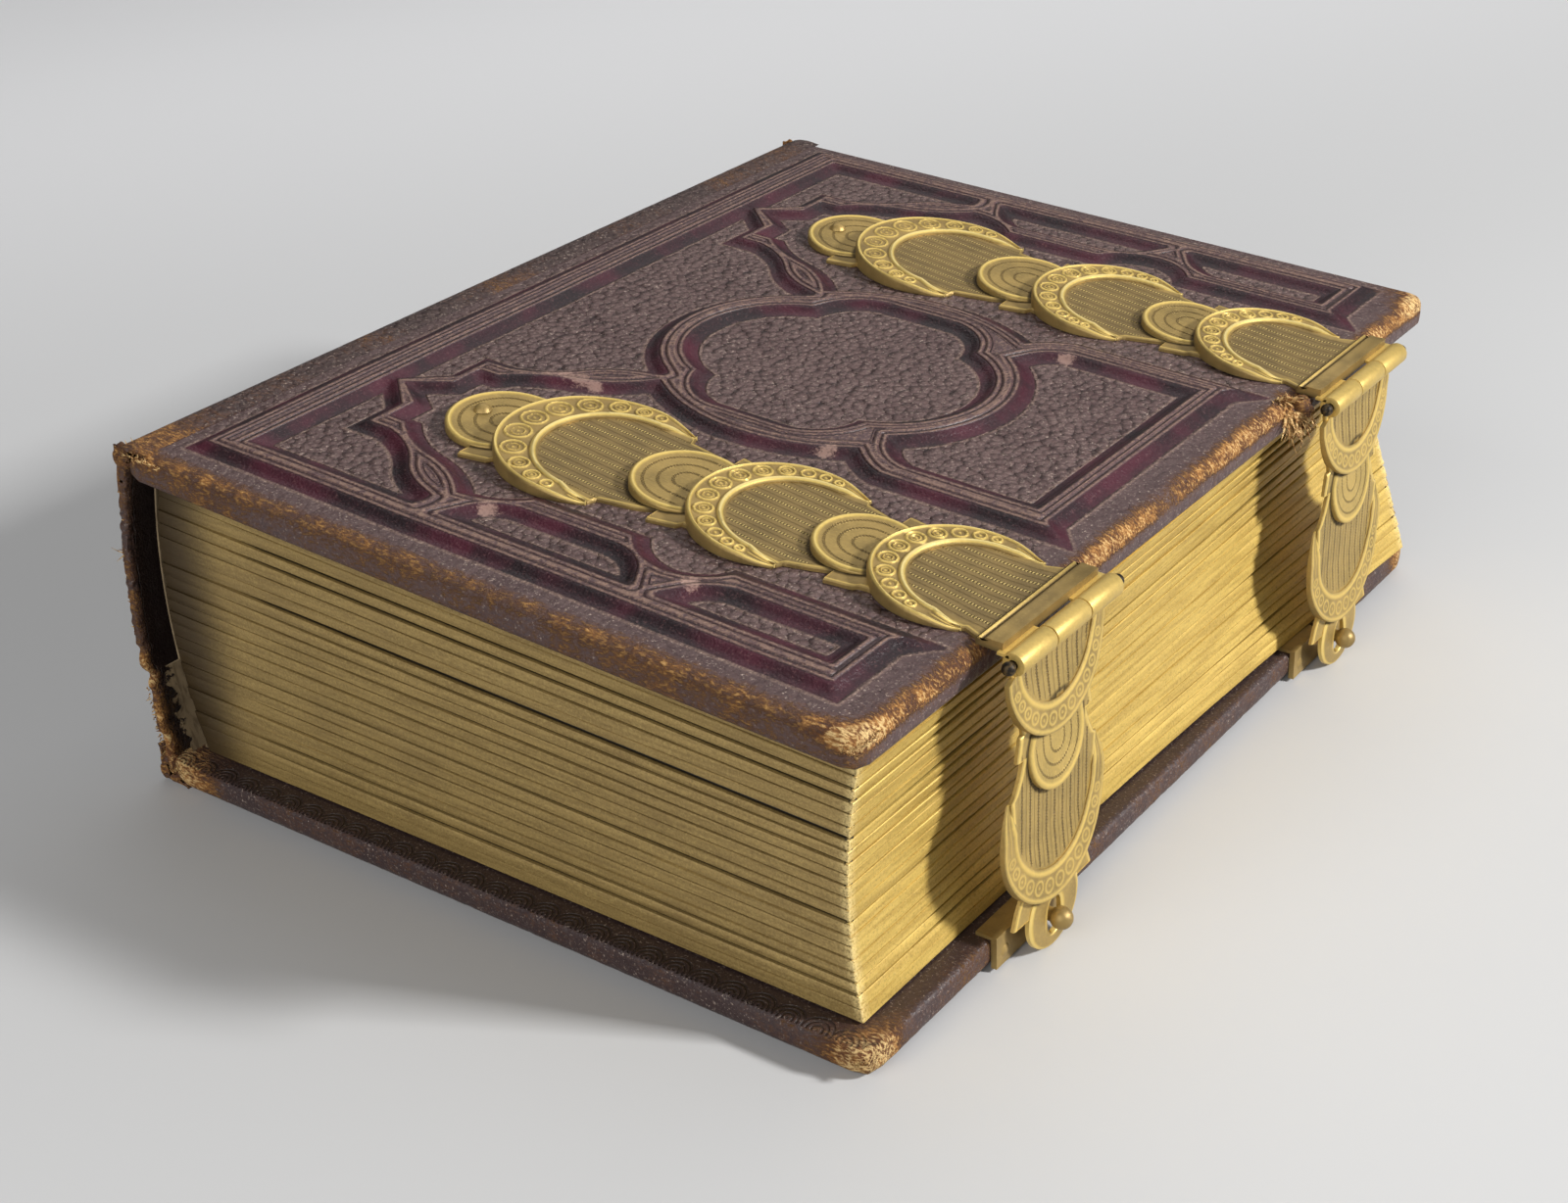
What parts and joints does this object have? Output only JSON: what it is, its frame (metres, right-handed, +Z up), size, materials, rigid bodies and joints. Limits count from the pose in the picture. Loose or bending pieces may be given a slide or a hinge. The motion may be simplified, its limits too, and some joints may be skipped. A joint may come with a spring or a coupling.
{
  "type": "photograph album",
  "caption": "Photograph album in dark embossed leather, with thick gilt-edged leaves, a hollow back and hinged brass clasps over the fore-edge.",
  "frame": {"origin": "middle of the album's outline on the table, at the underside of the back cover", "axes": "+X from the spine to the fore-edge, +Y from the tail to the head, +Z up through the closed album"},
  "size_m": [0.1288, 0.152, 0.054],
  "materials": {
    "cover_leather": "embossed dark aubergine leather, worn to tan along the edges",
    "millboard": "grey-brown millboard under the leather",
    "lining_paper": "plain cream lining paper",
    "brown_lining": "brown paper glued to the back of the leaves",
    "gilt_leaves": "thick card leaves with gilt edges",
    "brass": "stamped brass, patinated in the hollows and bright on the rims"
  },
  "bodies": {
    "back_cover": {"back_board": "millboard", "back_leather": "cover_leather", "back_pastedown": "lining_paper", "tail_catch_plate": "brass", "tail_stud": "brass", "head_catch_plate": "brass", "head_stud": "brass", "catch_nails": "brass"},
    "book_block": {"page_block": "gilt_leaves", "spine_leather": "cover_leather", "spine_lining": "brown_lining"},
    "front_cover": {"front_board": "millboard", "front_leather": "cover_leather", "front_pastedown": "lining_paper", "tail_strap": "brass", "tail_hinge_pin": "brass", "head_strap": "brass", "head_hinge_pin": "brass", "strap_nails": "brass"},
    "tail_hasp_body": {"tail_hasp": "brass"},
    "head_hasp_body": {"head_hasp": "brass"}
  },
  "joints": [
    {"name": "back_joint", "type": "hinge", "parent": "back_cover", "child": "book_block", "pos_m": [-0.06276, 0, 0.0009], "axis": [0, -1, 0], "range_deg": [0, 90]},
    {"name": "front_joint", "type": "hinge", "parent": "book_block", "child": "front_cover", "pos_m": [-0.06007, 0, 0.05136], "axis": [0, -1, 0], "range_deg": [0, 180]},
    {"name": "tail_clasp", "type": "hinge", "parent": "front_cover", "child": "tail_hasp_body", "pos_m": [0.0627, -0.0409, 0.04554], "axis": [0, -1, 0], "range_deg": [0, 180]},
    {"name": "head_clasp", "type": "hinge", "parent": "front_cover", "child": "head_hasp_body", "pos_m": [0.0627, 0.0421, 0.04554], "axis": [0, -1, 0], "range_deg": [0, 180]}
  ]
}
